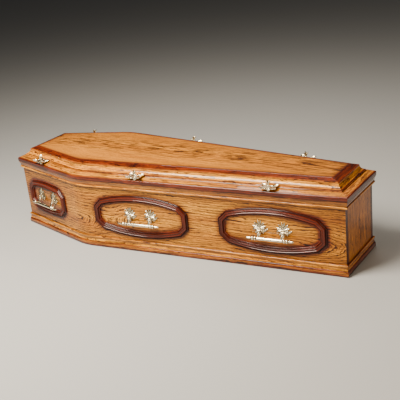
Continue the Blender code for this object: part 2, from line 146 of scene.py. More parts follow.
# Sections as shares of projection and height, with the numbers of the points that are arrises
PLINTH_SECTION = (
    (0.8, 0.0), (0.96, 0.07), (1.0, 0.17), (0.96, 0.34), (0.72, 0.45), (0.5, 0.48), (0.62, 0.53),
    (0.4, 0.68), (0.42, 0.79), (0.66, 0.83), (0.76, 0.9), (0.62, 0.97), (0.36, 1.0),
)
PLINTH_ARRISES = (5, 6, 8, 9)
TOP_SECTION = (
    (0.42, 0.0), (0.76, 0.06), (0.84, 0.17), (0.74, 0.29), (0.5, 0.33), (0.6, 0.41),
    (0.66, 0.56), (0.8, 0.76), (1.0, 0.9), (1.0, 1.0),
)
TOP_ARRISES = (4, 5, 8)
LID_EDGE_SECTION = (
    (0.7, 0.0), (0.9, 0.05), (1.0, 0.2), (1.0, 0.72), (0.92, 0.9), (0.72, 1.0),
)
RAISED_SECTION = (
    (0.0, 0.0), (0.025, 0.05), (0.0, 0.1), (0.03, 0.16), (0.09, 0.185), (0.2, 0.25),
    (0.305, 0.35), (0.385, 0.48), (0.43, 0.63), (0.44, 0.725), (0.5, 0.785), (1.0, 1.0),
)
RAISED_ARRISES = (2, 3, 4, 11)
FRAME_HALF_SECTION = (
    (0.01, 0.2), (0.03, 0.42), (0.07, 0.53), (0.12, 0.5), (0.16, 0.38), (0.21, 0.36),
    (0.25, 0.55), (0.28, 0.86), (0.32, 0.99), (0.37, 0.95), (0.43, 0.8), (0.5, 0.75),
)

# Half a bar from its tip to its middle as shares of its radius and half length, its arrises, and its dark
# stretches: from, to and how dark
BAR_SECTION = (
    (0.02, 1.0), (0.4, 0.995), (0.62, 0.955), (0.66, 0.885), (0.8, 0.79), (0.86, 0.77),
    (1.12, 0.752), (1.235, 0.722), (1.1, 0.692), (0.84, 0.674), (0.84, 0.656), (1.1, 0.636),
    (1.22, 0.604), (1.08, 0.574), (0.9, 0.556), (0.94, 0.52), (1.02, 0.2), (1.04, 0.0),
)
BAR_ARRISES = (4, 9, 10, 14)
BAR_DARK = ((0.53, 0.575, 1.0), (0.648, 0.682, 1.0), (0.755, 0.81, 0.95), (0.93, 1.01, 0.55))

# Leaves of a handle plate: the direction in degrees, how far the tip reaches, and the width
PLATE_LEAVES = (
    (-90, 0.042, 0.012), (-54, 0.037, 0.013), (-126, 0.037, 0.013), (-162, 0.037, 0.014),
    (165, 0.0345, 0.0135), (133, 0.0345, 0.0135), (101, 0.0395, 0.01), (79, 0.0395, 0.01),
    (47, 0.0345, 0.0135), (15, 0.0345, 0.0135), (-18, 0.0355, 0.013),
)
PLATE_LEAF_START = 0.0095
PLATE_PETALS = 9
PLATE_PETAL_START = 0.0035
PLATE_PETAL_REACH = 0.0185
PLATE_PETAL_WIDTH = 0.0105
PLATE_PETAL_BASE = 0.0028
PLATE_SPRAY_AT = (0.005, -0.027, 0.0)
PLATE_SPRAY_ANGLE = 33

# A cast leaf: its columns from edge to edge, its rows, where it is widest, how far its ridge falls, and the
# depth of its veins as a share of the ridge
LEAF_COLUMNS = (-1, -0.86, -0.62, -0.36, -0.12, 0, 0.12, 0.36, 0.62, 0.86, 1)
LEAF_CELLS = 16
LEAF_WIDEST = 0.6
LEAF_FALL = 0.9
VEIN_DEPTH = 0.22

# The plate's disc as (radius, height), and its boss as (share of its radius, height, how dark)
PLATE_DISC = ((0.0135, 0.0), (0.014, 0.0012), (0.0125, 0.0032), (0.0095, 0.004), (0.0004, 0.0042))
PLATE_BOSS = 0.0062
PLATE_BOSS_SECTION = (
    (1.05, 0.003, 0.8), (1.12, 0.0046, 0.3), (0.86, 0.005, 0.9), (0.96, 0.0058, 0.3),
    (0.9, 0.0066, 0), (0.66, 0.0073, 0), (0.34, 0.0078, 0), (0.04, 0.008, 0),
)

# An ear across its thickness: share of the thickness, share of the radius. At its foot it is wider by EAR_FOOT
EAR_SECTION = ((-0.5, 0.9), (-0.36, 1.0), (0.36, 1.0), (0.5, 0.9))
EAR_FOOT = 1.3

# An arm's eye round its bore: share of the radius, share of the width
EYE_BORE_CLEARANCE = 0.0006
EYE_SECTION = ((0.86, 0.5), (1.0, 0.38), (1.0, -0.38), (0.86, -0.5))

# A holder's dish from its middle over the rim to its underside: share of the reach, height in its own
# thicknesses, how dark
DISH_SECTION = (
    (0.1, 1.0, 0.8), (0.5, 1.0, 0.6), (0.78, 1.0, 0.65), (0.9, 1.3, 0.5), (0.955, 1.95, 0),
    (0.985, 2.15, 0), (1.01, 1.75, 0), (1.015, 0.8, 0), (0.985, 0.15, 0.2), (0.8, 0.0, 0.6),
    (0.1, 0.0, 0.8),
)

# A holder's post at the dish and at the crown: share of its radius, height from there
POST_FOOT = ((2.75, -0.001), (2.95, 0.001), (2.125, 0.003), (1.1, 0.0052), (0.8, 0.01))
POST_HEAD = ((1.3, -0.0045), (1.45, -0.003), (0.95, -0.0012), (0.9, 0.002), (0.7, 0.004))

# A holder's crown from its foot over the rim into its hollow: share of the radius and of the height, how dark
CROWN_SECTION = (
    (0.36, 0.06, 0.7), (0.52, 0.22, 0.5), (0.74, 0.44, 0.4), (0.9, 0.66, 0.25), (1.0, 0.86, 0),
    (0.86, 0.8, 0.6), (0.66, 0.6, 0.9), (0.42, 0.46, 1), (0.04, 0.42, 1),
)

# Fineness of the meshes
SHOULDER_STEPS = 24
ARCH_STEPS = 36
SECTION_STEPS = 5
FACE_ROWS = 56
HEAD_CELLS = 50
FOOT_CELLS = 140
END_CELLS = 24
TOP_CELLS = 40
EAR_STEPS = 14
ARM_CELLS = 18
SHARP_ANGLE = 35

# Darkening on the boards, of sprayed toner and of painted shade: how strong it is at each place, how far it
# fades, and how far off a frame it reaches
# Round the frames: toner and painted shade where the raised frames meet the board
FRAME_TONER_AND_SHADE = 0.85
FRAME_HALO = 0.014
FRAME_REACH = 0.05
# Painted shade on the side under the top moulding and over the plinth
SHADE_UNDER_TOP_MOULDING = 0.3
SHADE_OVER_PLINTH = 0.16
EDGE_HALO = 0.016
# Painted shade towards the foot and the head, standing for the light that falls off towards the ends
FOOT_END_PAINTED_SHADE = 0.5
FOOT_SHADE = 0.22
HEAD_END_PAINTED_SHADE = 0.58
HEAD_SHADE = 0.48
CORNER_TONER = 1.2
CORNER_HALO = 0.006
END_GRAIN_TONER = 1.7
MITRE_TONER = 0.6
ACROSS_TONER = 0.4

# Where a piece lies in its wood: how far along the grain, and how far from the pith
PITH_HEIGHT = 0.15
END_PITH = 0.04
END_GRAIN_AT = 0.4
TOP_GRAIN_AT = (0.35, -0.035)
ACROSS_GRAIN_AT = 3.0
LEDGE_GRAIN_AT = {"left": 4.0, "foot": 7.0, "head": 9.0}

# Heights and insets that follow
HALF_LENGTH = BOX_LENGTH / 2
LID_BOTTOM = BOX_HEIGHT + GAP
LEDGE_FOOT = LID_BOTTOM + LID_EDGE
LID_TOP = LEDGE_FOOT + LEDGE_RISE
RAISED_FOOT = LID_TOP + GAP
RAISED_TOP = RAISED_FOOT + RAISE
SHELF = RAISED_TOP - TOP_PANEL_THICKNESS
TOP_MOULDING_BOTTOM = BOX_HEIGHT - TOP_MOULDING_HEIGHT
FRAME_BOTTOM = PLINTH_HEIGHT + FRAME_MARGIN_BELOW
FRAME_HEIGHT = TOP_MOULDING_BOTTOM - FRAME_MARGIN_ABOVE - FRAME_BOTTOM
FRAME_MIDDLE = FRAME_BOTTOM + FRAME_HEIGHT / 2
FRAME_SHOULDER = FRAME_HEIGHT / 2 - FRAME_RISE
TOP_PANEL_INSET = STEP_INSET + RAISED_WIDTH
HEAD_SIDE = hypot(SHOULDER_FROM_HEAD, (SHOULDER_WIDTH - HEAD_WIDTH) / 2)
FOOT_SIDE = hypot(BOX_LENGTH - SHOULDER_FROM_HEAD, (SHOULDER_WIDTH - FOOT_WIDTH) / 2)
SHORT_FRAME = HEAD_SIDE - FRAME_HEAD_MARGIN - FRAME_BEFORE_SHOULDER
LONG_FRAME = (FOOT_SIDE - FRAME_AFTER_SHOULDER - FRAME_SPACING - FRAME_FOOT_MARGIN) / 2
FRAME_ARCH_RADIUS = ((LONG_FRAME / 2 - FRAME_CORNER) ** 2 + FRAME_RISE ** 2) / (2 * FRAME_RISE)
LEDGE_EDGE = LID_OVERHANG * LID_EDGE_SECTION[-1][0]
LEDGE_SLOPE = LEDGE_RISE / (LEDGE_EDGE + STEP_INSET)
HOLDER_RADIUS = (LEDGE_EDGE + STEP_INSET - HOLDER_FROM_EDGE + HOLDER_OVER_STEP) / sin(pi / 4)
HOLDER_DISH = LEDGE_SLOPE * HOLDER_RADIUS * HOLDER_WAIST + HOLDER_CLEARANCE

HEAD_CORNER = Vector((-HALF_LENGTH, -HEAD_WIDTH / 2))
SHOULDER_CORNER = Vector((SHOULDER_FROM_HEAD - HALF_LENGTH, -SHOULDER_WIDTH / 2))
FOOT_CORNER = Vector((HALF_LENGTH, -FOOT_WIDTH / 2))
ALONG_HEAD = (SHOULDER_CORNER - HEAD_CORNER).normalized()
ALONG_FOOT = (FOOT_CORNER - SHOULDER_CORNER).normalized()
ACROSS = Vector((0, 1))
SIDES = (("right", 1), ("left", -1))
TO_BAR = Vector((0, -BAR_REACH, -BAR_DROP))
EAR_X = EYE_WIDTH / 2 + EAR_CLEARANCE + EAR_THICKNESS / 2


# Plan geometry

def outward(along):
    """The direction out of the box beside a stretch of its right side."""
    return Vector((along.y, -along.x))


def meet(start, along, other, other_along):
    """Where two lines in the plan cross."""
    gap = other - start
    share = gap.x * other_along.y - gap.y * other_along.x
    return start + along * (share / (along.x * other_along.y - along.y * other_along.x))


def facing(along, sign):
    """How far a piece made for the right side turns about Z on its own side: sign is 1 right and -1 left."""
    turn = atan2(along.y, along.x)
    return turn if sign > 0 else pi - turn


def at_height(point, z, sign=1):
    """A plan point of the right side at a height, mirrored to the left side where sign is -1."""
    return Vector((point.x, point.y * sign, z))


def runs_along(points):
    """How far along a line of points each of them lies."""
    runs = [0.0]
    for a, b in zip(points, points[1:]):
        runs.append(runs[-1] + (b - a).length)
    return runs


def side_path(outset, end=None, head_cells=1, foot_cells=1):
    """Plan points of the right side moved outward by outset, and their distances from the shoulder's middle.

    The line ends at the distance end from the coffin's middle, or at the mitres where end is None.
    """
    reach = HALF_LENGTH + outset if end is None else end
    head_line = HEAD_CORNER + outward(ALONG_HEAD) * outset
    foot_line = FOOT_CORNER + outward(ALONG_FOOT) * outset
    start = meet(head_line, ALONG_HEAD, Vector((-reach, 0)), ACROSS)
    finish = meet(foot_line, ALONG_FOOT, Vector((reach, 0)), ACROSS)
    lean = RAISED_LEAN * max(-outset - STEP_INSET, 0) if end is None else 0
    corner = meet(head_line, ALONG_HEAD, foot_line, ALONG_FOOT) - ALONG_FOOT * lean
    along = (corner - start).normalized()
    turn = along.angle(ALONG_FOOT)
    radius = SHOULDER_RADIUS + outset
    middle = corner - along * (radius * tan(turn / 2)) - outward(along) * radius
    arc = [
        middle + Matrix.Rotation(turn * i / SHOULDER_STEPS, 2) @ outward(along) * radius
        for i in range(SHOULDER_STEPS + 1)
    ]
    points = [start.lerp(arc[0], i / head_cells) for i in range(head_cells)] + arc
    points += [arc[-1].lerp(finish, (i + 1) / foot_cells) for i in range(foot_cells)]
    runs = runs_along(points)
    zero = runs[head_cells + SHOULDER_STEPS // 2]
    return points, [run - zero for run in runs]


def distance_to_loop(points, loop):
    """How far points in a plane are from a closed loop, as an array."""
    best = np.full(len(points), np.inf)
    corners = np.array([tuple(p) for p in loop])
    for a, b in zip(corners, np.roll(corners, -1, axis=0)):
        run = b - a
        t = np.clip(((points - a) @ run) / (run @ run), 0, 1)
        best = np.minimum(best, np.linalg.norm(points - a - t[:, None] * run, axis=1))
    return best


# Curves

def fine(section, arrises=(), steps=SECTION_STEPS):
    """A smooth curve through a section's points, which turns sharply at its arrises."""
    points = [Vector(p) for p in section]
    sharp = {0, len(points) - 1, *arrises}

    def slope(i):
        return Vector((0, 0)) if i in sharp else (points[i + 1] - points[i - 1]) / 2

    curve = []
    for i, (a, b) in enumerate(zip(points, points[1:])):
        chord = b - a
        leave = chord if i in sharp else slope(i)
        arrive = chord if i + 1 in sharp else slope(i + 1)
        straight = i in sharp and i + 1 in sharp
        for k in range(1 if straight else steps):
            t = k / steps
            curve.append(
                a * (2 * t ** 3 - 3 * t ** 2 + 1) + leave * (t ** 3 - 2 * t ** 2 + t)
                + b * (3 * t ** 2 - 2 * t ** 3) + arrive * (t ** 3 - t ** 2)
            )
    return [(p.x, p.y) for p in [*curve, points[-1]]]


def bell(distance, width):
    """1 where the distance is 0, falling to 0 well beyond the width."""
    return np.exp(-(distance / width) ** 2)


def ease(t):
    """From 0 to 1 with a soft start and end."""
    return (1 - cos(pi * t)) / 2


def both_ways(steps):
    """Shares from -1 to 1 in equal steps."""
    return [2 * i / steps - 1 for i in range(steps + 1)]


def circle(steps):
    """Angles evenly round a circle."""
    return [2 * pi * i / steps for i in range(steps)]


def turned(degrees, axis="Z"):
    """A turn about an axis."""
    return Matrix.Rotation(radians(degrees), 4, axis)


def round_z(angle, radius, z):
    """A point at an angle round the Z axis."""
    return (radius * cos(angle), radius * sin(angle), z)


# Meshes

def even(value):
    """The same tone all over a mesh."""
    return lambda row, column, cell: value


def by_row(section):
    """The tone that ends each point of a section, for the rows of its mesh."""
    return lambda row, column, cell: section[row][-1]


def shade(mesh):
    """Smooth shading that keeps the arrises sharp."""
    mesh.shade_smooth()
    mesh.set_sharp_from_angle(angle=radians(SHARP_ANGLE))


def loft_mesh(name, rows, grain=None, tone=None, ring=False, sign=1):
    """A mesh through rows of points that are closed loops, mirrored to the left side where sign is -1.

    grain(row, column, cell) gives the wood's own coordinates: along the grain, across the face and into it.
    tone(row, column, cell) gives how dark a point is made, which carries sprayed toner, brass patina and
    painted shade. The cell is None on a cap.
    """
    count = len(rows[0])
    shape = bmesh.new()
    verts = [shape.verts.new((p[0], p[1] * sign, p[2])) for row in rows for p in row]
    cells = []
    for i in range(len(rows) if ring else len(rows) - 1):
        k = (i + 1) % len(rows)
        for j in range(count):
            m = (j + 1) % count
            corners = (i * count + j, i * count + m, k * count + m, k * count + j)
            shape.faces.new([verts[n] for n in corners])
            cells.append((i, j))
    if not ring:
        shape.faces.new(verts[:count][::-1])
        shape.faces.new(verts[-count:])
        cells += [None, None]
    bmesh.ops.recalc_face_normals(shape, faces=shape.faces)
    mesh = bpy.data.meshes.new(name)
    shape.to_mesh(mesh)
    shape.free()
    fields = (("grain", "FLOAT_VECTOR", "vector", grain), ("tone", "FLOAT", "value", tone))
    for label, kind, field, given in fields:
        if given:
            corners = ((n, cells[face.index]) for face in mesh.polygons for n in face.vertices)
            values = np.array([given(n // count, n % count, cell) for n, cell in corners], np.float32)
            mesh.attributes.new(label, kind, "CORNER").data.foreach_set(field, values.ravel())
    shade(mesh)
    return mesh


def added(name, data):
    """A new object in the scene."""
    obj = bpy.data.objects.new(name, data)
    bpy.context.scene.collection.objects.link(obj)
    return obj


def piece(name, mesh, finish, node, location=(0, 0, 0), turn=0.0):
    """Adds a piece that stands for one CAD node and moves with its body."""
    obj = added(name, mesh)
    if not mesh.materials:
        mesh.materials.append(finish)
    obj.location = location
    obj.rotation_euler = (0, 0, turn)
    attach(obj, frame["nodes"][node]["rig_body"])
    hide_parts(node)


# Materials

class Material:
    """A Principled material and short ways to add and link its nodes."""

    def __init__(self, name):
        self.made = bpy.data.materials.new(name)
        self.made.use_nodes = True
        self.tree = self.made.node_tree
        self.shader = self.tree.nodes["Principled BSDF"]

    def feed(self, socket, value):
        """Links a socket to another node's output, or sets its value."""
        if isinstance(value, bpy.types.NodeSocket):
            self.tree.links.new(value, socket)
        else:
            socket.default_value = value

    def node(self, kind, inputs=(), **options):
        """A node with its options set and its inputs fed by name or number."""
        made = self.tree.nodes.new("ShaderNode" + kind)
        for option, value in options.items():
            setattr(made, option, value)
        for key, value in dict(inputs).items():
            self.feed(made.inputs[key], value)
        return made

    def set(self, **sockets):
        """Sets or links the shader's sockets, named with underscores for spaces."""
        for name, value in sockets.items():
            self.feed(self.shader.inputs[name.replace("_", " ")], value)

    def attribute(self, name, output="Vector"):
        return self.node("Attribute", attribute_name=name).outputs[output]

    def own_place(self):
        """A point's coordinates in its own object."""
        return self.node("TexCoord").outputs["Object"]

    def math(self, operation, *values):
        return self.node("Math", enumerate(values), operation=operation).outputs[0]

    def add(self, first, second):
        return self.math("ADD", first, second)

    def times(self, first, second):
        return self.math("MULTIPLY", first, second)

    def ramp(self, value, slope, start):
        """A value times a slope, plus a start."""
        return self.math("MULTIPLY_ADD", value, slope, start)

    def sway(self, noise, width):
        """Noise from 0 to 1 as an offset to both sides, over a width in all."""
        return self.ramp(noise, width, -width / 2)

    def bell(self, distance, width):
        """1 where the distance is 0, falling to 0 well beyond the width."""
        share = self.math("DIVIDE", distance, width)
        return self.math("EXPONENT", self.times(self.times(share, share), -1.0))

    def span(self, value, low, high, to_low=0.0, to_high=1.0):
        """A value mapped smoothly from one range to another and clamped."""
        inputs = {"Value": value, "From Min": low, "From Max": high, "To Min": to_low, "To Max": to_high}
        return self.node("MapRange", inputs, interpolation_type="SMOOTHSTEP").outputs["Result"]

    def pulse(self, phase, full, fading, gone):
        """0 at the phase 0, 1 between full and fading, and 0 again beyond gone."""
        return self.times(self.span(phase, 0.0, full), self.span(phase, fading, gone, 1.0, 0.0))

    def noise(self, at, along, across, detail=2.0, roughness=0.5):
        """Noise from 0 to 1, with its own fineness along the first coordinate and across it."""
        stretch = {0: at, 1: (along, across, across)}
        at = self.node("VectorMath", stretch, operation="MULTIPLY").outputs[0]
        inputs = {"Vector": at, "Scale": 1.0, "Detail": detail, "Roughness": roughness}
        return self.node("TexNoise", inputs).outputs["Fac"]

    def mix(self, factor, first, second, blend="MIX"):
        """Two colours mixed."""
        inputs = {0: factor, 6: first, 7: second}
        return self.node("Mix", inputs, data_type="RGBA", blend_type=blend).outputs[2]

    def bump(self, height, distance):
        self.set(Normal=self.node("Bump", {"Height": height, "Distance": distance}).outputs["Normal"])


# The toner's colour, which darkens real toner and also the painted shade held in the tone attribute
TONER_AND_SHADE = (0.22, 0.075, 0.1, 1)
SWELL_LENGTH = 0.13


def wood(
    name, light, middle, dark, rings=0.0165, depth=0.0, dive=0.0, rise=0.0, rise_from=0.0, swell=0.0,
    swell_at=0.0, wander=0.016, line=1.0, fine_line=0.5, pores=0.8, pore_size=(10.0, 150.0), pore_cut=0.5,
    pore_band=None, clear=1.0, grained=True,
):
    """Lacquered wood: growth rings round a pith that runs behind the face, with dark pores along the grain.

    The attribute grain says where a point lies in the wood, if grained. The attribute tone darkens it with
    toner, and also carries painted shade: one coat up to 1, and a second coat up to 2.

    rings is the width of one year. depth is how far the pith lies behind the face. It grows by dive times the
    length along the grain, by rise times the square of the length beyond rise_from, and by swell at swell_at.
    wander is how far the pith strays sideways. line, fine_line and pores are strengths. pore_size is how fine
    the pores are along and across the grain, pore_cut thins them, and pore_band keeps them near the pith.
    """
    m = Material(name)
    at = m.attribute("grain") if grained else m.own_place()
    along, across, into = m.node("SeparateXYZ", {0: at}).outputs

    # How far the pith lies aside of a point and behind it
    slow = m.noise(at, 1.3, 1.1, detail=1.0)
    ripple = m.noise(at, 4.5, 13.0, detail=3.0, roughness=0.55)
    aside = m.add(m.add(across, m.sway(slow, 4 * wander)), m.sway(ripple, 0.046))
    behind = m.add(m.ramp(along, dive, depth), into)
    if rise:
        beyond = m.math("MAXIMUM", m.math("SUBTRACT", along, rise_from), 0.0)
        behind = m.ramp(m.times(beyond, beyond), rise, behind)
    if swell:
        behind = m.ramp(m.bell(m.math("SUBTRACT", along, swell_at), SWELL_LENGTH), swell, behind)
    radius = m.math("SQRT", m.add(m.times(aside, aside), m.times(behind, behind)))

    # The years round the pith, each with its own dark line and three thin ones
    tremble = m.noise(at, 26.0, 80.0)
    uneven = m.node("TexNoise", {"W": radius, "Scale": 24.0, "Detail": 1.0}, noise_dimensions="1D")
    years = m.math("DIVIDE", m.ramp(tremble, 0.009, radius), rings)
    years = m.ramp(uneven.outputs["Fac"], 1.6, years)
    luck = m.node("TexWhiteNoise", {"W": m.math("FLOOR", years)}, noise_dimensions="1D").outputs["Value"]
    early = m.times(m.pulse(m.math("FRACT", years), 0.06, 0.1, 0.36), m.ramp(luck, 0.6, 0.55))
    minor = m.pulse(m.math("FRACT", m.times(years, 3.0)), 0.12, 0.16, 0.52)
    breaks = m.span(m.noise(at, 13.0, 55.0), 0.36, 0.5, 0.15, 1.0)

    # Pores: dashes along the grain, and fine specks
    dash = m.span(m.noise(at, *pore_size), pore_cut, pore_cut + 0.028)
    speck = m.span(m.noise(at, 50.0, 900.0, detail=1.0), 0.5, 0.66)
    streak = m.times(dash, m.ramp(early, -0.4, 0.75))
    if pore_band:
        streak = m.times(streak, m.bell(aside, pore_band))

    # Colour, two coats of toner that also lay on the painted shade, and the lacquer with its slight unevenness
    band = m.span(m.noise(at, 1.4, 13.0), 0.28, 0.7)
    colour = m.mix(band, light, middle)
    colour = m.mix(m.times(minor, fine_line), colour, dark)
    colour = m.mix(m.times(m.times(early, breaks), line), colour, dark)
    colour = m.mix(m.times(streak, pores), colour, dark)
    colour = m.mix(m.times(speck, m.ramp(early, 0.45, 0.32)), colour, dark)
    stain_and_shade = m.times(m.attribute("tone", "Fac"), m.ramp(band, 0.2, 0.85))
    for first in (0.0, 1.0):
        coat = m.math("MINIMUM", m.math("MAXIMUM", m.math("SUBTRACT", stain_and_shade, first), 0.0), 1.0)
        colour = m.mix(coat, colour, m.mix(1.0, colour, TONER_AND_SHADE, "MULTIPLY"))
    wear = m.noise(at, 6.0, 9.0, detail=3.0)
    m.set(
        Base_Color=colour, Roughness=m.ramp(wear, 0.14, 0.34), Specular_IOR_Level=0.12, IOR=1.5,
        Coat_Weight=clear, Coat_Roughness=0.035, Coat_IOR=1.36,
    )
    peel = m.noise(at, 60.0, 60.0, detail=1.0)
    m.bump(m.add(m.times(streak, -0.5), m.times(peel, 0.35)), 0.00016)
    return m.made


def brass(name, bright, dull):
    """Pale cast brass, darker in its hollows."""
    m = Material(name)
    place = m.own_place()
    cloud = m.noise(place, 60.0, 60.0, detail=3.0)
    grit = m.noise(place, 900.0, 900.0)
    tarnish = m.add(m.attribute("tone", "Fac"), m.span(cloud, 0.45, 0.75, 0.0, 0.3))
    tarnish = m.math("MINIMUM", tarnish, 1.0)
    m.set(Base_Color=m.mix(tarnish, bright, dull), Metallic=1.0, Roughness=m.ramp(tarnish, 0.2, 0.2))
    m.bump(m.add(cloud, m.times(grit, 0.25)), 0.00012)
    return m.made


OAK = wood(
    "lacquered_oak", (0.94, 0.4, 0.022, 1), (0.6, 0.205, 0.01, 1), (0.045, 0.01, 0.002, 1), rings=0.0125,
    rise=0.5, rise_from=1.1, swell=0.055, swell_at=0.17, line=2.1, fine_line=0.9, pores=0.65,
    pore_size=(6.0, 260.0), pore_cut=0.51, clear=0.75,
)
LID_OAK = wood(
    "lid_oak", (0.7, 0.262, 0.02, 1), (0.5, 0.165, 0.01, 1), (0.04, 0.01, 0.003, 1), rings=0.013,
    depth=0.01, dive=0.02, wander=0.01, line=0.75, fine_line=0.4, pores=1.3, pore_size=(8.0, 105.0),
    pore_band=0.12,
)
MOULDING_OAK = wood(
    "moulding_oak", (0.96, 0.41, 0.024, 1), (0.66, 0.22, 0.012, 1), (0.06, 0.012, 0.003, 1), rings=0.008,
    depth=0.08, wander=0.004, line=1.2, pores=0.85, pore_size=(8.0, 170.0), pore_cut=0.51,
)
# The end boards' oak is darker than the sides' partly as painted shade, for end faces that turn away from the
# key light
SHADED_END_OAK = wood(
    "end_oak", (0.66, 0.225, 0.008, 1), (0.46, 0.14, 0.006, 1), (0.035, 0.008, 0.002, 1), rings=0.0105,
    depth=0.055, dive=0.012, wander=0.004, line=1.5, fine_line=0.55, clear=0.5,
)
MAHOGANY = wood(
    "mahogany_stain", (0.13, 0.016, 0.004, 1), (0.07, 0.008, 0.002, 1), (0.018, 0.003, 0.001, 1),
    rings=0.006, depth=0.05, wander=0.004, line=0.5, fine_line=0.2, pores=0.5, clear=0.75,
)
UNDER_OAK = wood(
    "underside_oak", (0.42, 0.21, 0.07, 1), (0.34, 0.16, 0.05, 1), (0.16, 0.07, 0.02, 1), depth=0.06,
    clear=0.2, grained=False,
)
BRASS = brass("pale_brass", (0.98, 0.88, 0.64, 1), (0.13, 0.08, 0.028, 1))


# Box

def frame_outline(half_length, inset, steps=ARCH_STEPS):
    """A panel frame's outline in its own plane, moved inward by inset."""
    corner_x = half_length - FRAME_CORNER
    spread = asin(corner_x / FRAME_ARCH_RADIUS)
    middle = FRAME_SHOULDER - FRAME_ARCH_RADIUS * cos(spread)
    angles = [spread * share for share in both_ways(steps)]
    arch = [Vector((FRAME_ARCH_RADIUS * sin(a), middle + FRAME_ARCH_RADIUS * cos(a))) for a in angles]
    end = Vector((half_length, FRAME_SHOULDER - FRAME_CORNER))
    top = [Vector((-end.x, end.y)), *arch, end]
    points = top + [-p for p in top]
    moved = []
    for before, here, after in zip(points[-1:] + points[:-1], points, points[1:] + points[:1]):
        first, second = (here - before).normalized(), (after - here).normalized()
        moved.append(meet(here + outward(first) * inset, first, here + outward(second) * inset, second))
    return moved


def panels():
    """(place, middle on the right side's face, direction, frame length) of the three panels of a side."""
    first = FRAME_AFTER_SHOULDER + LONG_FRAME / 2
    second = first + LONG_FRAME + FRAME_SPACING
    return (
        ("head", HEAD_CORNER + ALONG_HEAD * (FRAME_HEAD_MARGIN + SHORT_FRAME / 2), ALONG_HEAD, SHORT_FRAME),
        ("middle", SHOULDER_CORNER + ALONG_FOOT * first, ALONG_FOOT, LONG_FRAME),
        ("foot", SHOULDER_CORNER + ALONG_FOOT * second, ALONG_FOOT, LONG_FRAME),
    )


def side_tone(line, heights):
    """Darkening on a long side: toner and painted shade round its frames, painted shade beside the mouldings
    and painted shade towards both ends.
    """
    flat = np.array([tuple(p) for p in line])
    tone = np.zeros((len(line), len(heights)))
    for _, middle, along, length in panels():
        from_middle = flat - np.array(middle)
        beside = abs(from_middle @ np.array(outward(along))) < FRAME_REACH
        xs, zs = np.meshgrid(from_middle @ np.array(along), heights - FRAME_MIDDLE, indexing="ij")
        ridge = frame_outline(length / 2, FRAME_MOULDING / 2, 12)
        away = distance_to_loop(np.column_stack([xs.ravel(), zs.ravel()]), ridge).reshape(xs.shape)
        # Toner and painted shade round each frame, where the raised frame meets the board
        halo = bell(np.maximum(away - FRAME_MOULDING / 2, 0), FRAME_HALO)
        tone = np.maximum(tone, FRAME_TONER_AND_SHADE * halo * beside[:, None])
    # Painted shade under the top moulding and over the plinth
    below_top = SHADE_UNDER_TOP_MOULDING * bell(np.maximum(TOP_MOULDING_BOTTOM - heights, 0), EDGE_HALO)
    over_plinth = SHADE_OVER_PLINTH * bell(np.maximum(heights - PLINTH_HEIGHT, 0), EDGE_HALO)
    # Painted shade towards both ends, standing for the light that falls off there
    at_ends = FOOT_END_PAINTED_SHADE * bell(HALF_LENGTH - flat[:, 0], FOOT_SHADE)
    at_ends += HEAD_END_PAINTED_SHADE * bell(HALF_LENGTH + flat[:, 0], HEAD_SHADE)
    return np.maximum(tone, np.maximum(below_top, over_plinth)) + at_ends[:, None]


def build_sides():
    """The long sides, each one board that bends round the shoulder."""
    outer, runs = side_path(0, HALF_LENGTH, HEAD_CELLS, FOOT_CELLS)
    inner, _ = side_path(-SIDE_THICKNESS, HALF_LENGTH, HEAD_CELLS, FOOT_CELLS)
    heights = BOX_HEIGHT * np.arange(FACE_ROWS + 1) / FACE_ROWS
    levels = [*heights, BOX_HEIGHT, 0]
    face = len(heights)
    rows = [[at_height(a if j < face else b, z) for j, z in enumerate(levels)] for a, b in zip(outer, inner)]
    tone = side_tone(outer, heights)

    def grain(row, column, cell):
        return (runs[row], levels[column] - PITH_HEIGHT, 0.0 if column < face else -SIDE_THICKNESS)

    def darkness(row, column, cell):
        if cell is None:
            return END_GRAIN_TONER
        return tone[row, column] if column < face else 0.0

    for side, sign in SIDES:
        mesh = loft_mesh("side_" + side, rows, grain, darkness, sign=sign)
        piece("lacquered_side_" + side, mesh, OAK, "side_board_" + side)


def build_ends():
    """The end boards, with upright grain and toner at their corners."""
    back = HALF_LENGTH - END_THICKNESS
    between = -SIDE_THICKNESS - GAP
    for name, end, sign in (("head", 0, -1), ("foot", -1, 1)):
        front_y = abs(side_path(between, HALF_LENGTH)[0][end].y)
        back_y = abs(side_path(between, back)[0][end].y)
        rows = []
        for z in (0, BOX_HEIGHT):
            face = [Vector((HALF_LENGTH * sign, front_y * share, z)) for share in both_ways(END_CELLS)]
            rows.append(face + [Vector((back * sign, back_y, z)), Vector((back * sign, -back_y, z))])

        def grain(row, column, cell):
            p = rows[row][column]
            return (p.z + END_GRAIN_AT * sign, p.y - END_PITH * sign, abs(p.x) - HALF_LENGTH)

        def darkness(row, column, cell):
            return CORNER_TONER * bell(front_y - abs(rows[row][column].y), CORNER_HALO)

        mesh = loft_mesh("end_" + name, rows, grain, darkness)
        piece("lacquered_end_" + name, mesh, SHADED_END_OAK, name + "_board")


# Mouldings

